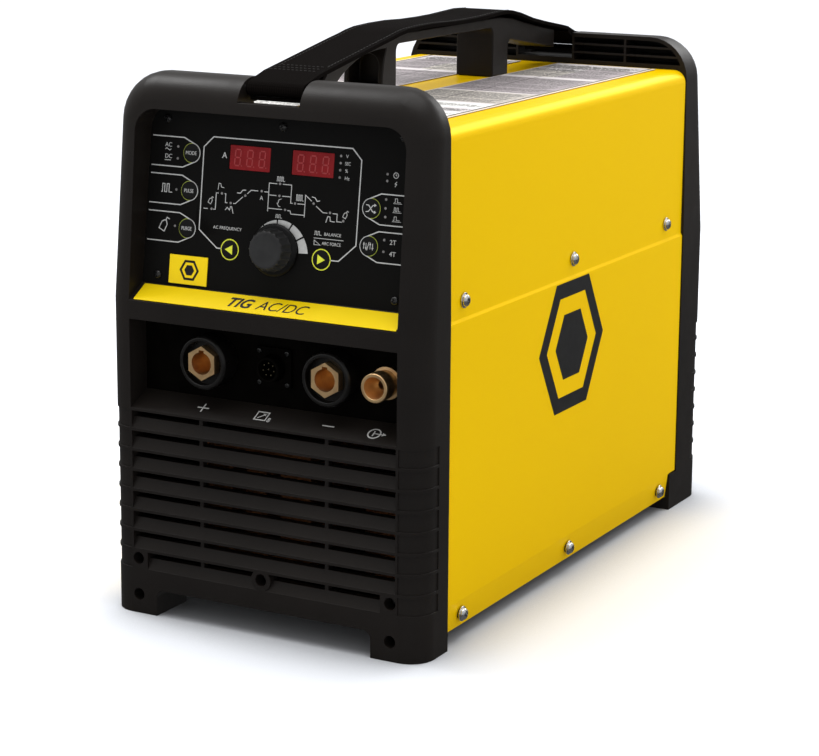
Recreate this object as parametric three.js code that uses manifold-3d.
// TIG welding machine, 200 A class AC/DC inverter. Millimetres, +Z up, front towards -Y,
// origin on the floor under the middle of the machine.
import * as THREE from 'three';
import { mergeVertices } from 'three/addons/utils/BufferGeometryUtils.js';
import Module from 'manifold-3d';

const wasm = await Module();
wasm.setup();

// ---------------------------------------------------------------- driving dimensions
const GAP = 0.3; // air between pieces that touch
const WIDTH = 208;
const DEPTH = 405;
const HALF_W = WIDTH / 2;
const HALF_D = DEPTH / 2;
const BEZEL_TOP = 316;
const FRONT_BEZEL_DEPTH = 31;
const REAR_BEZEL_DEPTH = 42.5;
const EDGE_RADIUS = 15; // rounding between a bezel's face and its sides and top
const TOP_RADIUS = 26; // upper corner of a bezel, seen from the front
const LEAN_START = 187; // above this height a bezel's face and sides lean in
const FRONT_LEAN = THREE.MathUtils.degToRad(5.2);
const REAR_LEAN = THREE.MathUtils.degToRad(6.4);
const SIDE_LEAN = THREE.MathUtils.degToRad(0.66);
const WALL = 3;

const COVER_TOP = 295.5;
const COVER_HALF_W = 103.3;
const COVER_STEP_Z = 187;
const COVER_STEP = 1;
const COVER_FLANGE_Z = 25.3;
const COVER_BOTTOM = 9;
const COVER_RADIUS = 8;
const SHEET = 1.4;

const FOOT_INNER_X = 71.5;
const ARCH_TOP = 15.7;
const REAR_FOOT_REACH = 11; // how far the rear feet stand in front of their bezel
const REAR_FOOT_TOP = 24.5;

const LOUVRE_TOP = 123;
const LOUVRE_PITCH = 12.05;
const LOUVRE_ROWS = 8;
const LOUVRE_HALF_W = 87;
const RIB = 1.8; // height of the thin rib between two louvres
const RIB_PROUD = 0.7;
const DIVIDER_X = 41.5;
const DIVIDER_T = 2.4;
const BOSS_Z = 33.5;
const BOSS_X = 83.8;
const FOOT_SCREW_Z = 11.5;
const SCREW_HOLE_R = 3.6;

const WINDOW_HALF_W = 87.5;
const WINDOW_TOP = 296;
const LEDGE_FRONT_Z = 187; // lower front edge of the accent strip's ledge
const LEDGE_BACK_Z = 195.3;
const PANEL_LEAN = THREE.MathUtils.degToRad(7.7);
const PANEL_FOOT_Y = -188.4; // panel face at the height where its own scale starts
const PANEL_FOOT_Z = 195;

const RECESS_TOP = 176;
const RECESS_SILL_FRONT = 123.6;
const RECESS_SILL_BACK = 132.3;
const RECESS_BACK_Y = -185.6;
const SOCKET_Z = 154.5;
const SOCKET_X = 40.5;
const GAS_OUTLET_X = 73;

const STRAP_HALF_W = 18.5;
const STRAP_T = 2.2;
const STRAP_BAR_R = 1.6;
const STRAP_BAR_Y = 181;
const STRAP_BAR_Z = 310.4;
const NOTCH_LIP_Z = 302.8;
const NOTCH_LIP_BACK_Y = -186;
const NOTCH_FLOOR = 299.4;

const HANDLE_HALF_W = 13;
const HANDLE_TOP = 333;

const SCREW_ROW_Y = [-153.8, -10.8, 132.2];
const UPPER_SCREW_Z = 198;
const LOWER_SCREW_Z = 17;

// ---------------------------------------------------------------- materials
function paint(color, roughness, metalness) {
  return new THREE.MeshStandardMaterial({ color, roughness, metalness });
}

const MATERIAL = {
  moulding: paint(0x2b2826, 0.55, 0),
  cover: paint(0xf6cb00, 0.25, 0),
  tray: paint(0x3a3a3c, 0.45, 0.6),
  panel: paint(0x1b1b1c, 0.5, 0),
  lens: paint(0x8e1b22, 0.2, 0),
  accent: paint(0xf5dc1a, 0.4, 0),
  knob: paint(0x38383a, 0.5, 0),
  button: paint(0x151516, 0.45, 0),
  plastic: paint(0x121212, 0.4, 0),
  brass: paint(0xc98a55, 0.3, 1),
  steel: paint(0xb9babd, 0.3, 1),
  label: paint(0xcfc9c6, 0.5, 0),
  strap: paint(0x23211f, 0.9, 0),
  aluminium: paint(0xc0c2c4, 0.4, 1),
  board: paint(0x1f5b34, 0.6, 0),
  copper: paint(0xb06a3a, 0.45, 0.9),
};

// ---------------------------------------------------------------- solids and booleans
function toSolid(geometry) {
  const bare = geometry.clone();
  for (const name of Object.keys(bare.attributes)) if (name !== 'position') bare.deleteAttribute(name);
  const merged = mergeVertices(bare, 1e-4);
  const vertProperties = new Float32Array(merged.attributes.position.array);
  const triVerts = new Uint32Array(merged.index.array);
  return new wasm.Manifold(new wasm.Mesh({ numProp: 3, vertProperties, triVerts }));
}

function toGeometry(solid) {
  const mesh = solid.getMesh();
  const geometry = new THREE.BufferGeometry();
  geometry.setAttribute('position', new THREE.BufferAttribute(new Float32Array(mesh.vertProperties), 3));
  geometry.setIndex(new THREE.BufferAttribute(new Uint32Array(mesh.triVerts), 1));
  geometry.computeVertexNormals();
  return geometry;
}

const join = (...solids) => solids.reduce((all, next) => all.add(next));
const cut = (solid, ...tools) => tools.reduce((rest, tool) => rest.subtract(tool), solid);

function polygon(points) {
  return new THREE.Shape(points.map(([a, b]) => new THREE.Vector2(a, b)));
}

// A rectangle whose corners have radii [low left, low right, high right, high left].
function roundedRect(a0, b0, a1, b1, [r0, r1, r2, r3]) {
  const shape = new THREE.Shape();
  shape.moveTo(a0 + r0, b0);
  shape.lineTo(a1 - r1, b0);
  if (r1) shape.absarc(a1 - r1, b0 + r1, r1, -Math.PI / 2, 0);
  shape.lineTo(a1, b1 - r2);
  if (r2) shape.absarc(a1 - r2, b1 - r2, r2, 0, Math.PI / 2);
  shape.lineTo(a0 + r3, b1);
  if (r3) shape.absarc(a0 + r3, b1 - r3, r3, Math.PI / 2, Math.PI);
  shape.lineTo(a0, b0 + r0);
  if (r0) shape.absarc(a0 + r0, b0 + r0, r0, Math.PI, 1.5 * Math.PI);
  return shape;
}

const X = new THREE.Vector3(1, 0, 0);
const Y = new THREE.Vector3(0, 1, 0);
const Z = new THREE.Vector3(0, 0, 1);

function extrude(shape, length, curveSegments = 6, steps = 1) {
  return new THREE.ExtrudeGeometry(shape, { depth: length, bevelEnabled: false, curveSegments, steps });
}

// The shape's own axes become Y and Z, and it runs along X from x0 to x1.
function alongX(shape, x0, x1, segments) {
  const geometry = extrude(shape, x1 - x0, segments);
  geometry.applyMatrix4(new THREE.Matrix4().makeBasis(Y, Z, X));
  return toSolid(geometry.translate(x0, 0, 0));
}

// The shape's own axes become X and Z, and it runs along Y from y0 to y1.
function alongY(shape, y0, y1, segments) {
  const geometry = extrude(shape, y1 - y0, segments);
  geometry.applyMatrix4(new THREE.Matrix4().makeBasis(X, Z, Y.clone().negate()));
  return toSolid(geometry.translate(0, y1, 0));
}

function alongZ(shape, z0, z1, segments) {
  return toSolid(extrude(shape, z1 - z0, segments).translate(0, 0, z0));
}

const boxXYZ = (x0, y0, z0, x1, y1, z1) => {
  const geometry = new THREE.BoxGeometry(x1 - x0, y1 - y0, z1 - z0);
  return toSolid(geometry.translate((x0 + x1) / 2, (y0 + y1) / 2, (z0 + z1) / 2));
};

// A turned piece about its own Z axis, from [radius, height] pairs on the axis at both ends.
function turned(profile, segments = 28) {
  const points = profile.map(([r, h]) => new THREE.Vector2(r, h));
  const geometry = new THREE.LatheGeometry(points, segments);
  return toSolid(geometry.rotateX(Math.PI / 2));
}

const rod = (radius, low, high, segments = 24) =>
  turned([[0, low], [radius, low], [radius, high], [0, high]], segments);

// Turns a piece made about Z so that its +Z end points to -Y, and puts its foot at x, y, z.
const facingFront = (solid, x, y, z) => solid.rotate([90, 0, 0]).translate([x, y, z]);
const facingRear = (solid, x, y, z) => solid.rotate([-90, 0, 0]).translate([x, y, z]);

const group = new THREE.Group();
const panelFrame = new THREE.Group();
panelFrame.position.set(0, PANEL_FOOT_Y, PANEL_FOOT_Z);
panelFrame.rotation.x = Math.PI / 2 - PANEL_LEAN;
group.add(panelFrame);

function place(name, solid, material, parent = group) {
  const mesh = new THREE.Mesh(toGeometry(solid), material);
  mesh.name = name;
  parent.add(mesh);
}

// ---------------------------------------------------------------- bezels
// Both bezels are made facing -Y; the rear one is then turned about Z.
const above = (z) => Math.max(0, z - LEAN_START);
const panelY = (z) => PANEL_FOOT_Y + (z - PANEL_FOOT_Z) * Math.tan(PANEL_LEAN);

// One point of the blank's skin: side -1 or 1, `up` the angle round the upper corner and `round` the
// angle from the side (0) to the face (90 degrees), both in radians.
function skinPoint(side, up, round, centreZ, inset, lean) {
  const edge = EDGE_RADIUS - inset;
  const reach = TOP_RADIUS - inset - edge + edge * Math.cos(round);
  const z = centreZ + reach * Math.sin(up);
  const x = HALF_W - TOP_RADIUS + reach * Math.cos(up) - above(z) * Math.tan(SIDE_LEAN);
  const y = -HALF_D + inset + edge * (1 - Math.sin(round)) + above(z) * Math.tan(lean);
  return [side * x, y, z];
}

// The outer body: a box whose face, sides and top run into each other with full roundings.
function bezelBlank(backY, lean, inset = 0) {
  const steps = 8;
  const quarter = (i) => (i / steps) * (Math.PI / 2);
  const points = [];
  for (const side of [-1, 1]) {
    for (let i = 0; i <= steps; i += 1) {
      points.push(skinPoint(side, 0, quarter(i), 0, inset, lean));
      points.push(skinPoint(side, 0, quarter(i), LEAN_START, inset, lean));
      for (let k = 0; k <= steps; k += 1) {
        points.push(skinPoint(side, quarter(k), quarter(i), BEZEL_TOP - TOP_RADIUS, inset, lean));
      }
    }
    for (const [up, z] of [[0, 0], [0, LEAN_START]]) {
      points.push(skinPoint(side, up, 0, z, inset, lean));
      points[points.length - 1][1] = backY;
    }
    for (let k = 0; k <= steps; k += 1) {
      points.push(skinPoint(side, quarter(k), 0, BEZEL_TOP - TOP_RADIUS, inset, lean));
      points[points.length - 1][1] = backY;
    }
  }
  return wasm.Manifold.hull(points);
}

// A region inside the bezel's front outline, running the whole depth.
function insideOutline(sideInset, topInset) {
  const half = HALF_W - sideInset;
  const radius = TOP_RADIUS - sideInset + 1;
  const outline = roundedRect(-half, -1, half, BEZEL_TOP - topInset, [0, 0, radius, radius]);
  return alongY(outline, -HALF_D - 2, 0, 6);
}

function louvreCuts(row) {
  const top = LOUVRE_TOP - row * LOUVRE_PITCH - RIB / 2;
  const lip = LOUVRE_TOP - (row + 1) * LOUVRE_PITCH + RIB / 2;
  const blade = lip + 6.2;
  const face = -HALF_D;
  const slope = polygon([
    [face - 1, lip], [face + 0.2, lip], [face + 3.3, blade], [face + 3.3, top], [face - 1, top]]);
  const near = DIVIDER_X - DIVIDER_T / 2;
  const far = DIVIDER_X + DIVIDER_T / 2;
  const bays = [[-LOUVRE_HALF_W, -far], [-near, near], [far, LOUVRE_HALF_W]];
  const passage = roundedRect(face + 3.2, blade, face + 12, top, [0, 0, 0, 0]);
  const passages = bays.map(([x0, x1]) => alongX(passage, x0, x1));
  const cuts = join(alongX(slope, -LOUVRE_HALF_W, LOUVRE_HALF_W), ...passages);
  return row === LOUVRE_ROWS - 1 ? cut(cuts, ...bossBlocks()) : cuts;
}

// The lowest louvre stops short of the three screw bosses.
function bossBlocks() {
  const low = BOSS_Z - 8;
  const high = BOSS_Z + 8;
  const boss = facingFront(rod(6.4, 0, 16), 0, -HALF_D + 15, BOSS_Z);
  const ends = [-1, 1].map((side) => {
    const [x0, x1] = [side * 77.5, side * 90].sort((a, b) => a - b);
    return boxXYZ(x0, -HALF_D - 2, low, x1, -HALF_D + 16, high);
  });
  return [boss, ...ends];
}

// Shallow bands between the ribs, where the ribs run round the vertical corners.
function cornerGrooves() {
  const skin = cut(bezelBlank(-HALF_D + 30, FRONT_LEAN), bezelBlank(-HALF_D + 31, FRONT_LEAN, RIB_PROUD));
  const bands = [];
  for (let row = 0; row < LOUVRE_ROWS; row += 1) {
    const top = LOUVRE_TOP - row * LOUVRE_PITCH - RIB / 2;
    const low = top - LOUVRE_PITCH + RIB;
    for (const side of [-1, 1]) {
      const [x0, x1] = [side * (LOUVRE_HALF_W + 1.5), side * (HALF_W + 1)].sort((a, b) => a - b);
      bands.push(boxXYZ(x0, -HALF_D - 1, low, x1, -HALF_D + 19, top));
    }
  }
  return skin.intersect(join(...bands));
}

// The notch that the carrying strap comes out of, with the bar it is looped round.
function strapNotch(backY) {
  const half = STRAP_HALF_W + 1.5;
  const notch = join(
    boxXYZ(-half, -HALF_D, NOTCH_LIP_Z, half, backY + 1, BEZEL_TOP + 1),
    boxXYZ(-half, NOTCH_LIP_BACK_Y, NOTCH_FLOOR, half, backY + 1, NOTCH_LIP_Z + 1));
  const barHole = rod(STRAP_BAR_R + GAP, -25, 25, 16).rotate([0, 90, 0])
    .translate([0, -STRAP_BAR_Y, STRAP_BAR_Z]);
  return join(notch, barHole);
}

function bezelBody(backY, lean) {
  const arch = roundedRect(-FOOT_INNER_X, -10, FOOT_INNER_X, ARCH_TOP, [0, 0, 5, 5]);
  const holes = [alongY(arch, -HALF_D - 1, backY + 1, 6)];
  for (const x of [-BOSS_X, 0, BOSS_X]) {
    holes.push(facingFront(rod(SCREW_HOLE_R, 0, 10, 16), x, -HALF_D + 9, BOSS_Z));
  }
  for (const x of [-BOSS_X, BOSS_X]) {
    holes.push(facingFront(rod(SCREW_HOLE_R, 0, 12, 16), x, -HALF_D + 11, FOOT_SCREW_Z));
  }
  const louvres = [];
  for (let row = 0; row < LOUVRE_ROWS; row += 1) louvres.push(louvreCuts(row));
  return cut(bezelBlank(backY, lean), ...louvres, ...holes, cornerGrooves(), strapNotch(backY));
}

function frontBezel() {
  const backY = -HALF_D + FRONT_BEZEL_DEPTH;
  const inner = HALF_W - WALL;
  const panelSeat = (z) => panelY(z) - GAP;
  const hollow = polygon([
    [backY + 1, ARCH_TOP + WALL], [-HALF_D + 8, ARCH_TOP + WALL], [-HALF_D + 8, 121],
    [RECESS_BACK_Y, 125], [RECESS_BACK_Y, 186], [panelY(189), 189], [panelSeat(302), 302], [backY + 1, 302]]);
  const windowSide = polygon([
    [-HALF_D - 1, LEDGE_FRONT_Z], [-HALF_D, LEDGE_FRONT_Z], [panelY(LEDGE_BACK_Z), LEDGE_BACK_Z],
    [backY + 1, LEDGE_BACK_Z], [backY + 1, WINDOW_TOP], [-HALF_D - 1, WINDOW_TOP]]);
  const windowFront = roundedRect(-WINDOW_HALF_W, 180, WINDOW_HALF_W, WINDOW_TOP, [0, 0, 13, 13]);
  const recess = polygon([
    [-HALF_D - 1, RECESS_SILL_FRONT], [-HALF_D, RECESS_SILL_FRONT], [RECESS_BACK_Y + 1, RECESS_SILL_BACK],
    [RECESS_BACK_Y + 1, RECESS_TOP], [-HALF_D - 1, RECESS_TOP]]);
  const window = alongX(windowSide, -HALF_W, HALF_W).intersect(alongY(windowFront, -HALF_D - 1, backY + 1));
  const inside = alongX(hollow, -inner, inner).intersect(insideOutline(WALL, WALL));
  return cut(bezelBody(backY, FRONT_LEAN), inside, window, alongX(recess, -WINDOW_HALF_W, WINDOW_HALF_W));
}

const REAR_PANEL_Y = -HALF_D + 20; // in the rear bezel's own facing
const REAR_WINDOW = { low: 137, high: 288, half: 84 };
const GRILLE = { low: 298.4, pitch: 5.6, slot: 4.3, depth: 17, columns: [[21.5, 57.6], [59.2, 103]] };

function rearBezel() {
  const backY = -HALF_D + REAR_BEZEL_DEPTH;
  const inner = HALF_W - WALL;
  const hollow = polygon([
    [backY + 1, ARCH_TOP + WALL], [-HALF_D + 8, ARCH_TOP + WALL], [-HALF_D + 8, 123],
    [REAR_PANEL_Y, 125], [REAR_PANEL_Y, 293], [backY + 1, 293]]);
  const windowShape = roundedRect(
    -REAR_WINDOW.half, REAR_WINDOW.low, REAR_WINDOW.half, REAR_WINDOW.high, [8, 8, 13, 13]);
  const feet = [-1, 1].map((side) => {
    const [x0, x1] = [side * FOOT_INNER_X, side * HALF_W].sort((a, b) => a - b);
    return boxXYZ(x0, backY - 2, 0, x1, backY + REAR_FOOT_REACH, REAR_FOOT_TOP);
  });
  const inside = alongX(hollow, -inner, inner).intersect(insideOutline(WALL, WALL));
  const window = alongY(windowShape, -HALF_D - 1, backY);
  const body = cut(bezelBody(backY, REAR_LEAN), inside, window, topGrille(backY));
  return join(body, ...feet).rotate([0, 0, 180]);
}

// Three rows of blind slots in the rear bezel's wall above the cover, with ends that follow its corner.
function topGrille(backY) {
  const slots = [];
  for (let row = 0; row < 3; row += 1) {
    const low = GRILLE.low + row * GRILLE.pitch;
    for (const [near, far] of GRILLE.columns) {
      slots.push(boxXYZ(near, backY - GRILLE.depth, low, far, backY + 1, low + GRILLE.slot));
      slots.push(boxXYZ(-far, backY - GRILLE.depth, low, -near, backY + 1, low + GRILLE.slot));
    }
  }
  return join(...slots).intersect(insideOutline(5, 2.6));
}

// ---------------------------------------------------------------- cover and tray
const COVER_FRONT_Y = -HALF_D + FRONT_BEZEL_DEPTH + GAP;
const COVER_REAR_Y = HALF_D - REAR_BEZEL_DEPTH - GAP;

function coverProfile(inset) {
  const low = COVER_HALF_W - inset;
  const high = low - COVER_STEP;
  const top = COVER_TOP - inset;
  const radius = COVER_RADIUS - inset;
  const foot = inset ? COVER_BOTTOM - 1 : COVER_BOTTOM;
  const shape = new THREE.Shape();
  shape.moveTo(low - 2, foot);
  shape.lineTo(low, COVER_FLANGE_Z);
  shape.lineTo(low, COVER_STEP_Z - 0.6);
  shape.lineTo(high, COVER_STEP_Z + 1.2);
  shape.absarc(high - radius, top - radius, radius, 0, Math.PI / 2);
  shape.absarc(-high + radius, top - radius, radius, Math.PI / 2, Math.PI);
  shape.lineTo(-high, COVER_STEP_Z + 1.2);
  shape.lineTo(-low, COVER_STEP_Z - 0.6);
  shape.lineTo(-low, COVER_FLANGE_Z);
  shape.lineTo(-low + 2, foot);
  return shape;
}

function cover() {
  const shell = cut(
    alongY(coverProfile(0), COVER_FRONT_Y, COVER_REAR_Y, 5),
    alongY(coverProfile(SHEET), COVER_FRONT_Y - 1, COVER_REAR_Y + 1, 5));
  const footNotch = HALF_D - REAR_BEZEL_DEPTH - REAR_FOOT_REACH - 1;
  const notches = [-1, 1].map((side) => {
    const [x0, x1] = [side * 60, side * 110].sort((a, b) => a - b);
    return boxXYZ(x0, footNotch, 0, x1, COVER_REAR_Y + 1, REAR_FOOT_TOP + 0.8);
  });
  const holes = [];
  for (const y of SCREW_ROW_Y) {
    for (const z of [UPPER_SCREW_Z, LOWER_SCREW_Z]) {
      holes.push(rod(3, -110, 110, 12).rotate([0, 90, 0]).translate([0, y, z]));
    }
  }
  return cut(shell, ...notches, ...holes);
}

function baseTray() {
  const half = 99.4;
  const front = COVER_FRONT_Y + 1;
  const rear = COVER_REAR_Y - 12;
  const inside = boxXYZ(-half + 2, front - 1, 14, half - 2, rear + 1, 35);
  const tray = cut(boxXYZ(-half, front, 12, half, rear, 34), inside);
  const drill = rod(2.6, -110, 110, 12).rotate([0, 90, 0]);
  const holes = SCREW_ROW_Y.map((y) => drill.translate([0, y, LOWER_SCREW_Z]));
  return cut(tray, ...holes);
}

// Pan-head screw with its washer, made about Z with the head up.
function coverScrew(underHead) {
  return turned([
    [0, -8], [2, -8], [2, 0], [underHead, 0], [underHead, 0.8],
    [3.5, 0.8], [3.3, 2], [2.3, 2.9], [0, 3.1],
  ], 12);
}

function addCoverScrews() {
  SCREW_ROW_Y.forEach((y, i) => {
    const rows = [
      ['upper', UPPER_SCREW_Z, COVER_HALF_W - COVER_STEP],
      ['lower', LOWER_SCREW_Z, COVER_HALF_W],
    ];
    for (const [row, z, sheetX] of rows) {
      const screw = coverScrew(4.4).translate([0, 0, sheetX + GAP]);
      const right = screw.rotate([0, 90, 0]).translate([0, y, z]);
      const left = screw.rotate([0, -90, 0]).translate([0, y, z]);
      place(`cover_screw_${row}_right_${i + 1}`, right, MATERIAL.steel);
      place(`cover_screw_${row}_left_${i + 1}`, left, MATERIAL.steel);
    }
  });
}

// ---------------------------------------------------------------- control panel
const PANEL_HALF_W = 92;
const PANEL_T = 2;
const BUTTON_R = 5.3;
const KNOB_V = 26.6;
const BUTTON_COLUMN = 59.3;
const BUTTONS = {
  button_mode: [-BUTTON_COLUMN, 76.2],
  button_pulse: [-BUTTON_COLUMN, 54.8],
  button_purge: [-BUTTON_COLUMN, 33.4],
  button_previous: [-29.9, 24],
  button_next: [29.9, 24],
  button_process: [BUTTON_COLUMN, 54.8],
  button_trigger: [BUTTON_COLUMN, 34.2],
};
const DISPLAY = { u: 20.5, v: 76, halfW: 13.3, halfH: 6.8 };

function displayShape(side, clearance) {
  const u = side * DISPLAY.u;
  const w = DISPLAY.halfW + clearance;
  const h = DISPLAY.halfH + clearance;
  return roundedRect(u - w, DISPLAY.v - h, u + w, DISPLAY.v + h, [0.6, 0.6, 0.6, 0.6]);
}

function controlPanel() {
  const plate = boxXYZ(-PANEL_HALF_W, -3, -PANEL_T, PANEL_HALF_W, 105, 0);
  const holes = Object.values(BUTTONS).map(([u, v]) => rod(BUTTON_R + 0.3, -3, 1).translate([u, v, 0]));
  const shaft = rod(4.6, -3, 1, 20).translate([0, KNOB_V, 0]);
  const lenses = [-1, 1].map((side) => alongZ(displayShape(side, GAP), -3, 1, 2));
  return cut(plate, ...holes, shaft, ...lenses);
}

function knob() {
  const skirt = turned([
    [0, 1], [14.8, 1], [14.8, 2.4], [12.6, 4], [11.6, 10.6], [10.8, 11.4], [0, 11.4],
  ], 36);
  const flutes = [];
  for (let i = 0; i < 18; i += 1) {
    const angle = (i / 18) * 2 * Math.PI;
    flutes.push(rod(1, 4.4, 12, 6).translate([13 * Math.cos(angle), 13 * Math.sin(angle), 0]));
  }
  const bore = rod(3.4, 0, 8, 16);
  return cut(skirt, bore, ...flutes);
}

function encoder() {
  const body = boxXYZ(-6.5, -6.5, -12, 6.5, 6.5, -PANEL_T - 1);
  return join(body, rod(4.2, -PANEL_T - 1.5, -0.4, 20), rod(3, -1, 7.5, 16));
}

function addControlPanel() {
  place('control_panel', controlPanel(), MATERIAL.panel, panelFrame);
  for (const [name, [u, v]] of Object.entries(BUTTONS)) {
    place(name, rod(BUTTON_R, -1.6, 0.7).translate([u, v, 0]), MATERIAL.button, panelFrame);
  }
  place('display_window_left', alongZ(displayShape(-1, 0), -PANEL_T, -0.15, 2), MATERIAL.lens, panelFrame);
  place('display_window_right', alongZ(displayShape(1, 0), -PANEL_T, -0.15, 2), MATERIAL.lens, panelFrame);
  place('badge_plate', boxXYZ(-69.3, 1.6, GAP, -43.6, 18, GAP + 0.6), MATERIAL.accent, panelFrame);
  place('encoder', encoder().translate([0, KNOB_V, 0]), MATERIAL.steel, panelFrame);
  place('control_knob', knob().translate([0, KNOB_V, 0]), MATERIAL.knob, panelFrame);
  const shaftHole = rod(11, -12, 0, 16).translate([0, KNOB_V, 0]);
  place('control_board', cut(boxXYZ(-78, 6, -9, 78, 96, -7.4), shaftHole), MATERIAL.board, panelFrame);
}
// A thin strip on the ledge below the control panel.
function accentStrip() {
  const [y0, z0] = [-HALF_D + 0.6, LEDGE_FRONT_Z + 0.4];
  const [y1, z1] = [panelY(LEDGE_BACK_Z) - 1.6, LEDGE_BACK_Z - 1];
  const length = Math.hypot(y1 - y0, z1 - z0);
  const [ny, nz] = [-(z1 - z0) / length, (y1 - y0) / length];
  const lift = (y, z, d) => [y + ny * d, z + nz * d];
  const section = [lift(y0, z0, GAP), lift(y1, z1, GAP), lift(y1, z1, 0.8), lift(y0, z0, 0.8)];
  return alongX(polygon(section), -84.5, 86.5);
}

// ---------------------------------------------------------------- front connectors
const PLATE_FRONT_Y = RECESS_BACK_Y + GAP;

function connectorPlate() {
  const plate = boxXYZ(-92, PLATE_FRONT_Y, 127, 92, PLATE_FRONT_Y + 2.5, 184);
  const drill = (radius, x) => facingFront(rod(radius, 0, 10, 20), x, PLATE_FRONT_Y + 5, SOCKET_Z);
  const holes = [-SOCKET_X, SOCKET_X].map((x) => facingFront(rod(11, 0, 10), x, PLATE_FRONT_Y + 5, SOCKET_Z));
  holes.push(drill(6.6, GAS_OUTLET_X), drill(8.2, 0));
  return cut(plate, ...holes);
}

// Moulded insulating collar round a welding socket, with its neck through the plate.
function socketCollar() {
  const collar = turned([
    [0, -6], [10.6, -6], [10.6, 0.3], [15.6, 0.3], [15.6, 12.6], [14.6, 14], [0, 14],
  ], 32);
  const pocket = turned([[0, 9], [12.8, 9], [12.8, 15], [0, 15]], 32);
  return cut(collar, pocket, rod(7.3, -7, 15));
}

// Brass socket insert: hexagonal nose, 13 mm bore and the key slot of a twist-lock plug.
function socketInsert() {
  const hexFlats = 17.4;
  const nose = new THREE.CylinderGeometry(hexFlats / Math.sqrt(3), hexFlats / Math.sqrt(3), 5, 6);
  const head = toSolid(nose.rotateX(Math.PI / 2).translate(0, 0, 11.8));
  const stem = rod(7, -14, 10);
  const keySlot = boxXYZ(-1.7, 5, 4, 1.7, 7.6, 15);
  return cut(join(head, stem), rod(6.5, -10, 15), keySlot);
}

function gasOutlet() {
  const body = turned([
    [0, -10], [6.3, -10], [6.3, 0.3], [9.4, 0.3], [9.4, 3], [7.6, 3.2], [7.6, 7],
    [8.3, 8], [8.3, 16.5], [7.9, 16.9], [0, 16.9],
  ], 28);
  const mouth = turned([[0, -11], [2.6, -11], [2.6, 7], [4.6, 10], [6.6, 18], [0, 18]], 24);
  return cut(body, mouth);
}

function remoteSocketFlange() {
  const flange = roundedRect(-11.5, -11.5, 11.5, 11.5, [2, 2, 2, 2]);
  return cut(alongZ(flange, 0.3, 2.3, 2), rod(8, 0, 3, 20));
}

function remoteSocketBarrel() {
  return cut(turned([[0, -8], [7.4, -8], [7.4, 8.6], [6.9, 9.2], [0, 9.2]], 24), rod(5.8, -2, 10, 20));
}

function addConnectors() {
  const onPlate = (solid, x) => facingFront(solid, x, PLATE_FRONT_Y, SOCKET_Z);
  place('connector_plate', connectorPlate(), MATERIAL.plastic);
  for (const [name, x] of [['positive', -SOCKET_X], ['negative', SOCKET_X]]) {
    place(`${name}_socket_collar`, onPlate(socketCollar(), x), MATERIAL.plastic);
    place(`${name}_socket_insert`, onPlate(socketInsert(), x), MATERIAL.brass);
  }
  place('gas_outlet', onPlate(gasOutlet(), GAS_OUTLET_X), MATERIAL.brass);
  place('remote_socket_flange', onPlate(remoteSocketFlange(), 0), MATERIAL.plastic);
  place('remote_socket_barrel', onPlate(remoteSocketBarrel(), 0), MATERIAL.plastic);
}

// ---------------------------------------------------------------- handle and strap
// The grip on two legs, with an arm at each end that runs down under the strap to the bezel.
function handle() {
  const foot = COVER_TOP + GAP;
  const side = new THREE.Shape();
  side.moveTo(-87.5, foot);
  side.quadraticCurveTo(-88, 316, -82, 325.6);
  side.quadraticCurveTo(-104, 325.4, -116, 321.6);
  side.quadraticCurveTo(-130, 317, -138, 311.5);
  side.quadraticCurveTo(-146, 306, -158, 304);
  side.lineTo(-158, 317);
  side.lineTo(-116, 324.5);
  side.lineTo(-97, 327.8);
  side.lineTo(-84, 329.8);
  side.quadraticCurveTo(-76, 331.6, -66, HANDLE_TOP);
  side.lineTo(60, HANDLE_TOP);
  side.quadraticCurveTo(74, 332.6, 84, 331);
  side.lineTo(103, 326.9);
  side.lineTo(125, 322.8);
  side.lineTo(147, 319);
  side.lineTo(147, 307);
  side.quadraticCurveTo(112, 313, 82, 317.5);
  side.quadraticCurveTo(77.5, 317, 77.5, 311);
  side.lineTo(77.5, foot);
  side.lineTo(56, foot);
  side.lineTo(56, 322);
  side.quadraticCurveTo(56, 327, 51, 327);
  side.lineTo(-65, 327);
  side.quadraticCurveTo(-70, 327, -70, 322);
  side.lineTo(-70, foot);
  const pocket = alongY(roundedRect(-9.8, 304, 9.8, 322, [1, 1, 8, 8]), -95, -74, 4);
  return cut(alongX(side, -HANDLE_HALF_W, HANDLE_HALF_W, 5), pocket);
}

// A flat band of even thickness along a line of [y, z] points, as one outline.
function band(points, thickness) {
  const left = [];
  const right = [];
  points.forEach(([y, z], i) => {
    const [py, pz] = points[Math.max(0, i - 1)];
    const [qy, qz] = points[Math.min(points.length - 1, i + 1)];
    const length = Math.hypot(qy - py, qz - pz);
    const [ny, nz] = [(-(qz - pz) / length) * thickness / 2, ((qy - py) / length) * thickness / 2];
    left.push([y + ny, z + nz]);
    right.unshift([y - ny, z - nz]);
  });
  return polygon([...left, ...right]);
}

// Points round a strap bar, from below it, over the side away from the handle, to its top.
function loopPoints(side) {
  const radius = STRAP_BAR_R + GAP + STRAP_T / 2 + 0.2;
  const points = [];
  for (let i = 0; i <= 8; i += 1) {
    const angle = -Math.PI / 2 - (i / 8) * Math.PI;
    points.push([side * (STRAP_BAR_Y + -Math.cos(angle) * radius), STRAP_BAR_Z + Math.sin(angle) * radius]);
  }
  return points;
}

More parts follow.
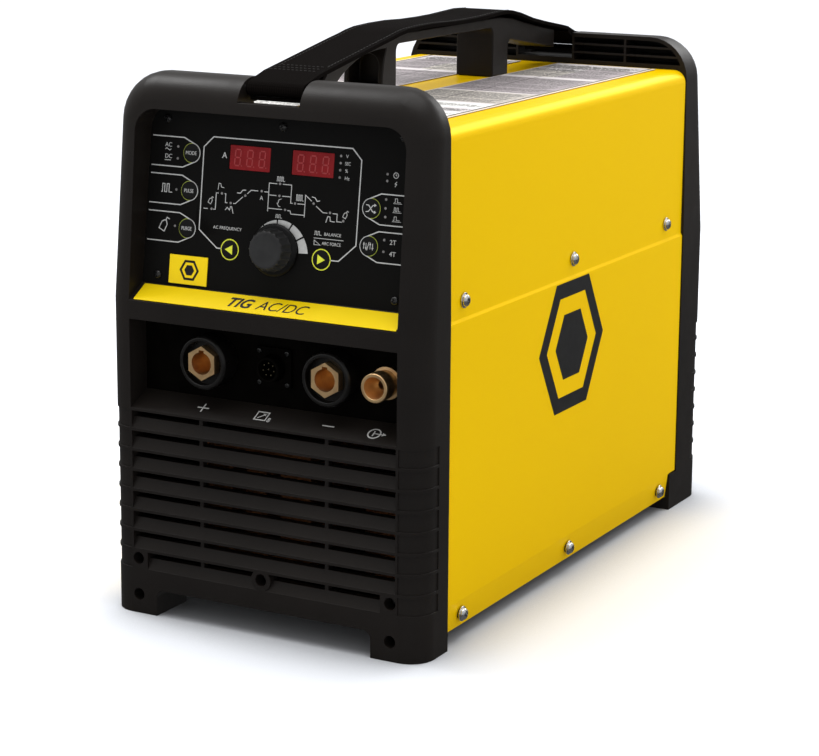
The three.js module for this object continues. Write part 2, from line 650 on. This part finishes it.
function strap() {
  const run = [
    [-166, 317.8], [-141, 322.1], [-116, 326.4], [-97, 329.7], [-84, 331.8], [-76, 333.3], [-66, 334.6],
    [-48, 335.3], [-28, 335.4], [-8, 334.7], [12, 334.6], [30, 334.9], [48, 335.7], [62, 336.3],
    [72, 335.9], [84, 333.7], [103, 328.9], [125, 324.8], [146, 321.4], [156, 319.6], [168, 315.4],
  ];
  const upper = [...loopPoints(-1), ...run, ...loopPoints(1).reverse()];
  const frontReturn = [loopPoints(-1)[0], [-174, 308.6], [-167, 312.4], [-160, 318]];
  const rearReturn = [loopPoints(1)[0], [173, 308.2], [165, 312], [157, 318]];
  const bands = [upper, frontReturn, rearReturn].map((line) =>
    alongX(band(line, STRAP_T), -STRAP_HALF_W, STRAP_HALF_W));
  return join(...bands);
}

function addHandleAndStrap() {
  place('handle', handle(), MATERIAL.moulding);
  place('strap', strap(), MATERIAL.strap);
  for (const [name, side] of [['front_strap_bar', -1], ['rear_strap_bar', 1]]) {
    const bar = rod(STRAP_BAR_R, -24.5, 24.5, 16).rotate([0, 90, 0]);
    place(name, bar.translate([0, side * STRAP_BAR_Y, STRAP_BAR_Z]), MATERIAL.steel);
  }
  for (const [name, side] of [['instruction_label_left', -1], ['instruction_label_right', 1]]) {
    const [x0, x1] = [side * 13.6, side * 84].sort((a, b) => a - b);
    place(name, boxXYZ(x0, -166, COVER_TOP + GAP, x1, 152, COVER_TOP + GAP + 0.4), MATERIAL.label);
  }
}

// ---------------------------------------------------------------- rear fittings
const REAR_Y = -REAR_PANEL_Y - GAP; // outer face of the rear panel
const SWITCH = { x: 52, z: 245 };
const GLAND = { x: 52, z: 178 };
const GAS_INLET = { x: -58, z: 178 };

function rearPanel() {
  const plate = boxXYZ(-92, REAR_Y - 2, 128, 92, REAR_Y, 292);
  return cut(plate, facingRear(rod(12, -6, 6, 20), SWITCH.x, REAR_Y, SWITCH.z),
    facingRear(rod(10.4, -6, 6, 20), GLAND.x, REAR_Y, GLAND.z),
    facingRear(rod(6.4, -6, 6, 20), GAS_INLET.x, REAR_Y, GAS_INLET.z));
}

function cableGland() {
  const nut = new THREE.CylinderGeometry(14.4, 14.4, 5, 6).rotateX(Math.PI / 2).translate(0, 0, 2.8);
  const body = turned([
    [0, -12], [10, -12], [10, 0.5], [11, 0.5], [12.4, 5], [12.4, 12], [9.6, 16.6], [0, 16.6],
  ], 24);
  return cut(join(toSolid(nut), body), rod(6, -13, 18, 20));
}

function gasInlet() {
  const barbs = [[0, -10], [6, -10], [6, GAP], [9, GAP], [9, 4], [4.2, 4.4]];
  for (let i = 0; i < 3; i += 1) barbs.push([5, 5 + i * 3.6], [3.9, 8.4 + i * 3.6]);
  return cut(turned([...barbs, [0, 15.6]], 20), rod(2.4, -11, 17, 12));
}

function switchBody() {
  const plate = alongZ(roundedRect(-22, -22, 22, 22, [3, 3, 3, 3]), GAP, 3, 3);
  return cut(join(plate, rod(11.4, -28, 1)), rod(5.4, -12, 4, 20));
}

// Rotary switch lever: a disc with a grip bar across it, and the spindle behind.
function switchLever() {
  const grip = roundedRect(-3.6, -15, 3.6, 15, [3, 3, 3, 3]);
  return join(rod(16, 3.4, 6.4, 28), alongZ(grip, 6, 15.5, 4), rod(5, -11, 4, 20));
}

const FAN = { y: 168, z: 73, half: 46, depth: 25 };

function fanFrame() {
  const outer = roundedRect(-FAN.half, -FAN.half, FAN.half, FAN.half, [5, 5, 5, 5]);
  const ring = cut(alongZ(outer, 0, FAN.depth, 3), rod(FAN.half - 3, -1, FAN.depth + 1, 36));
  const spoke = boxXYZ(0, -1.5, 0, FAN.half - 2, 1.5, 3);
  const spokes = [0, 120, 240].map((angle) => spoke.rotate([0, 0, angle]));
  return cut(join(ring, rod(15, 0, 3, 24), ...spokes), rod(2.4, -1, 4, 16));
}

function fanRotor() {
  const hub = turned([[0, 0.6], [2, 0.6], [2, 3.6], [15, 3.6], [15, 22], [0, 22]], 24);
  const blades = [];
  for (let i = 0; i < 7; i += 1) {
    const blade = boxXYZ(13, -1, -8.5, FAN.half - 5, 1, 8.5).rotate([42, 0, 0]).translate([0, 0, 13]);
    blades.push(blade.rotate([0, 0, (i / 7) * 360]));
  }
  return join(hub, ...blades);
}

function addRearFittings() {
  place('rear_panel', rearPanel(), MATERIAL.tray);
  place('mains_switch_body', facingRear(switchBody(), SWITCH.x, REAR_Y, SWITCH.z), MATERIAL.plastic);
  place('mains_switch_lever', facingRear(switchLever(), SWITCH.x, REAR_Y, SWITCH.z), MATERIAL.accent);
  place('cable_gland', facingRear(cableGland(), GLAND.x, REAR_Y, GLAND.z), MATERIAL.plastic);
  place('gas_inlet', facingRear(gasInlet(), GAS_INLET.x, REAR_Y, GAS_INLET.z), MATERIAL.brass);
  place('rating_label', boxXYZ(-74, REAR_Y + GAP, 212, 14, REAR_Y + GAP + 0.4, 272), MATERIAL.label);
  place('fan_frame', facingRear(fanFrame(), 0, FAN.y, FAN.z), MATERIAL.plastic);
  place('fan_rotor', facingRear(fanRotor(), 0, FAN.y, FAN.z), MATERIAL.plastic);
}

// ---------------------------------------------------------------- inside
function heatsink() {
  const base = boxXYZ(-60, -40, 0, 60, 120, 8);
  const fins = [];
  for (let i = 0; i < 11; i += 1) fins.push(boxXYZ(-60 + i * 11.8, -40, 7, -58 + i * 11.8, 120, 44));
  return join(base, ...fins);
}

function transformer() {
  const core = boxXYZ(-38, -32, 0, 38, 32, 74);
  return cut(core, boxXYZ(-17, -33, 13, -7, 33, 61), boxXYZ(7, -33, 13, 17, 33, 61));
}

function addInside() {
  const floor = 14 + GAP;
  place('heatsink', heatsink().translate([0, 0, floor + 24]), MATERIAL.aluminium);
  place('transformer', transformer().translate([-48, -98, floor]), MATERIAL.copper);
  const choke = cut(rod(34, 0, 56, 28), rod(12, -1, 57, 20));
  place('output_choke', choke.translate([48, -98, floor]), MATERIAL.copper);
  place('power_board', boxXYZ(-80, -140, 128, 80, 130, 130), MATERIAL.board);
  place('gas_valve', join(boxXYZ(-12, -14, 0, 12, 14, 22), rod(10, 20, 50, 20)).translate([72, -130, 150]),
    MATERIAL.brass);
}

// ---------------------------------------------------------------- the whole machine
place('front_bezel', frontBezel(), MATERIAL.moulding);
place('rear_bezel', rearBezel(), MATERIAL.moulding);
place('cover', cover(), MATERIAL.cover);
place('base_tray', baseTray(), MATERIAL.tray);
addCoverScrews();
addControlPanel();
place('accent_strip', accentStrip(), MATERIAL.accent);
addConnectors();
addHandleAndStrap();
addRearFittings();
addInside();

export default group;
